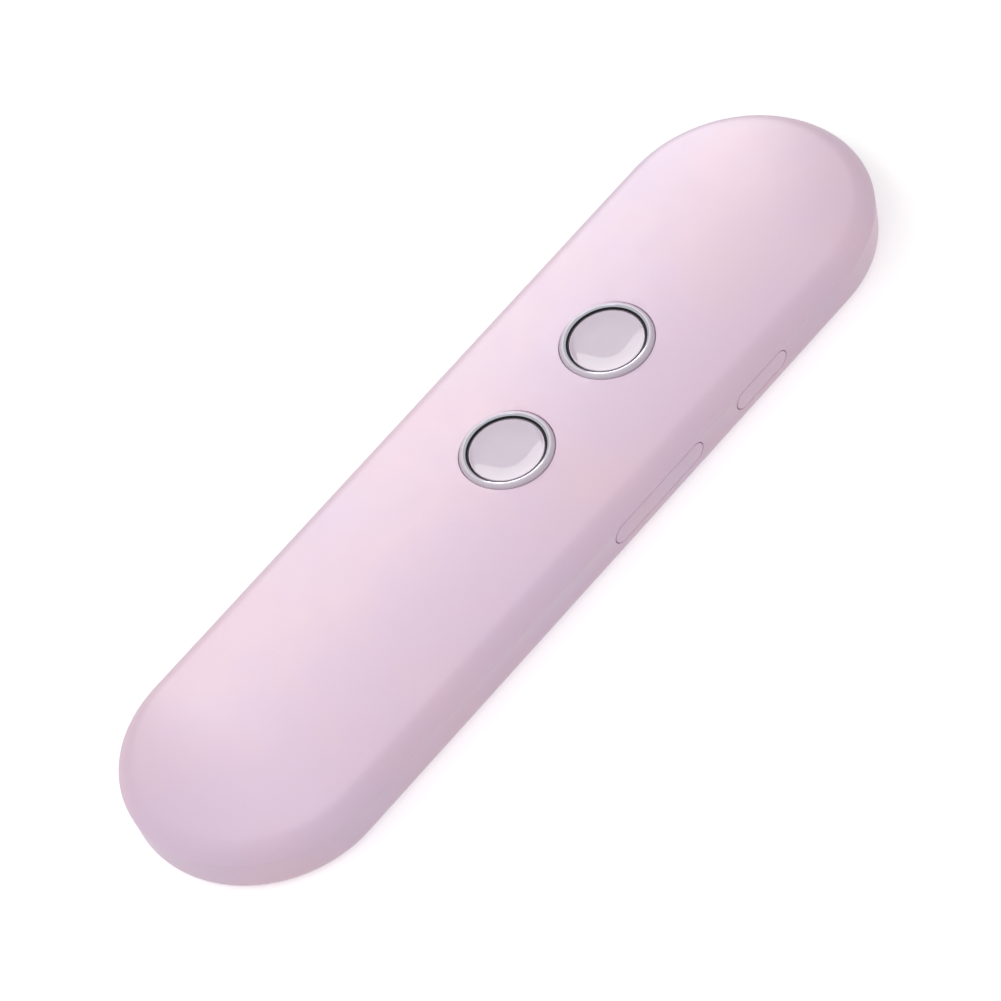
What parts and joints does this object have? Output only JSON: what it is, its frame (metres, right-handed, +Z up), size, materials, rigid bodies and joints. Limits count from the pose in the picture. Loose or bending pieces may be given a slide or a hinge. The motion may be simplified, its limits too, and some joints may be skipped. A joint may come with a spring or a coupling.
{
  "type": "handheld translator",
  "caption": "Slim round-ended handheld voice translator with a domed front, ringed talk buttons, a side power key and a volume rocker.",
  "frame": {"origin": "middle of the flat back, on the plane that the body rests on", "axes": "+X across the body towards the side keys, +Y along it towards the top end with the charging socket, +Z up out of the domed front"},
  "size_m": [0.0378, 0.14, 0.0108],
  "materials": {
    "pearl_shell": "satin pearl paint, pale pink-lilac",
    "satin_trim": "satin plated ring with a polished inner chamfer",
    "gloss_cap": "glossy lacquered lilac-grey",
    "carrier_plastic": "moulded grey nylon",
    "white_plastic": "moulded white plastic",
    "sheet_steel": "stamped and tinned sheet",
    "turned_steel": "turned and plated steel",
    "board_laminate": "green solder mask",
    "chip_resin": "black moulded resin",
    "black_nylon": "black moulded nylon",
    "battery_foil": "silver laminated foil",
    "adhesive_foam": "black adhesive foam",
    "boot_rubber": "moulded silicone rubber",
    "mesh_cloth": "fine woven dust mesh",
    "cone_film": "formed film",
    "lead_insulation": "soft insulation"
  },
  "bodies": {
    "housing": {"front_shell": "pearl_shell", "back_shell": "pearl_shell", "upper_trim_ring": "satin_trim", "lower_trim_ring": "satin_trim", "upper_switch_frame": "sheet_steel", "lower_switch_frame": "sheet_steel", "power_switch": "sheet_steel", "volume_up_switch": "sheet_steel", "volume_down_switch": "sheet_steel", "rocker_pin": "turned_steel", "main_board": "board_laminate", "board_screws": "turned_steel", "shield_can": "sheet_steel", "processor_chip": "chip_resin", "memory_chip": "chip_resin", "power_chip": "chip_resin", "antenna": "white_plastic", "port_shell": "sheet_steel", "port_tongue": "black_nylon", "microphone": "sheet_steel", "microphone_boot": "boot_rubber", "battery_cell": "battery_foil", "battery_pad": "adhesive_foam", "battery_guard_board": "board_laminate", "battery_leads": "lead_insulation", "battery_plug": "white_plastic", "battery_socket": "white_plastic", "speaker_frame": "black_nylon", "speaker_magnet": "turned_steel", "speaker_diaphragm": "cone_film", "speaker_gasket": "adhesive_foam", "speaker_mesh": "mesh_cloth", "speaker_leads": "lead_insulation"},
    "upper_button": {"upper_button_cap": "gloss_cap", "upper_button_base": "carrier_plastic", "upper_switch_plunger": "white_plastic"},
    "lower_button": {"lower_button_cap": "gloss_cap", "lower_button_base": "carrier_plastic", "lower_switch_plunger": "white_plastic"},
    "power_button": {"power_key": "pearl_shell", "power_switch_plunger": "white_plastic"},
    "volume_rocker": {"volume_key": "pearl_shell", "volume_up_plunger": "white_plastic", "volume_down_plunger": "white_plastic"}
  },
  "joints": [
    {"name": "upper_talk_press", "type": "slide", "parent": "housing", "child": "upper_button", "axis": [0, 0, -1], "range_m": [0, 0.00035], "stiffness_N_per_m": 1500},
    {"name": "lower_talk_press", "type": "slide", "parent": "housing", "child": "lower_button", "axis": [0, 0, -1], "range_m": [0, 0.00035], "stiffness_N_per_m": 1500},
    {"name": "power_press", "type": "slide", "parent": "housing", "child": "power_button", "axis": [-1, 0, 0], "range_m": [0, 0.0003], "stiffness_N_per_m": 1500},
    {"name": "volume_rock", "type": "hinge", "parent": "housing", "child": "volume_rocker", "pos_m": [0.01465, 0.0104, 0.0042], "axis": [0, 0, 1], "range_deg": [-1.8, 1.8], "stiffness_Nm_per_rad": 0.1}
  ]
}
